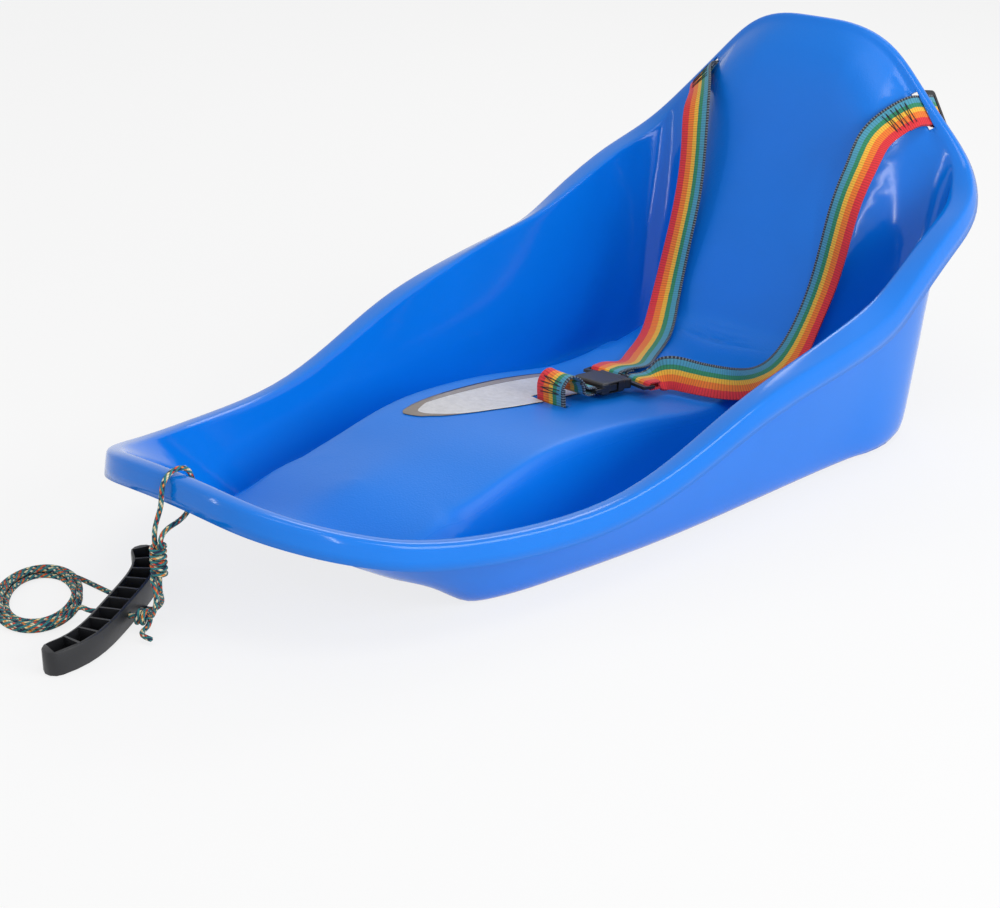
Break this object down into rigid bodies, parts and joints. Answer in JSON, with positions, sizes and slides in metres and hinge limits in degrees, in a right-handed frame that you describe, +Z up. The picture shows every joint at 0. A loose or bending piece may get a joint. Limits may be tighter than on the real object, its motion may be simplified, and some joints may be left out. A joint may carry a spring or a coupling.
{
  "type": "plastic sled",
  "caption": "Moulded plastic toddler sled with a high backrest, striped webbing harness with a side-release buckle, and a coiled tow rope with a ribbed grip.",
  "frame": {"origin": "on the ground, under the middle of the sled's bounding box without its tow rope", "axes": "+Z up, the bow points along -Y and the backrest stands at +Y, +X is the right side as seen from the bow; the hull's mirror plane is X = 0"},
  "size_m": [0.4366, 0.9177, 0.3502],
  "materials": {
    "moulded_blue": "smooth, semi-gloss moulded polyethylene",
    "striped_webbing": "woven stripes, matt",
    "black_plastic": "moulded acetal, satin",
    "braided_rope": "braided, matt"
  },
  "bodies": {
    "sled": {"hull": "moulded_blue", "shoulder_strap_right": "striped_webbing", "shoulder_strap_left": "striped_webbing", "crotch_strap": "striped_webbing", "slot_adjuster_right": "black_plastic", "slot_adjuster_left": "black_plastic", "crotch_adjuster": "black_plastic", "buckle_housing": "black_plastic", "buckle_yoke": "black_plastic", "rope_loop": "braided_rope", "lip_knot": "braided_rope", "tow_rope": "braided_rope", "rope_coil": "braided_rope", "rope_end": "braided_rope", "grip_knot": "braided_rope", "tow_grip": "black_plastic"},
    "release_arm_right": {"release_arm_right": "black_plastic"},
    "release_arm_left": {"release_arm_left": "black_plastic"}
  },
  "joints": [
    {"name": "press_right", "type": "hinge", "parent": "sled", "child": "release_arm_right", "pos_m": [0.0188, 0.07941, 0.0676], "axis": [0, -0.1045, -0.9945], "range_deg": [0, 4], "stiffness_Nm_per_rad": 0.5},
    {"name": "press_left", "type": "hinge", "parent": "sled", "child": "release_arm_left", "pos_m": [-0.0068, 0.07941, 0.0676], "axis": [0, 0.1045, 0.9945], "range_deg": [0, 4], "stiffness_Nm_per_rad": 0.5}
  ]
}
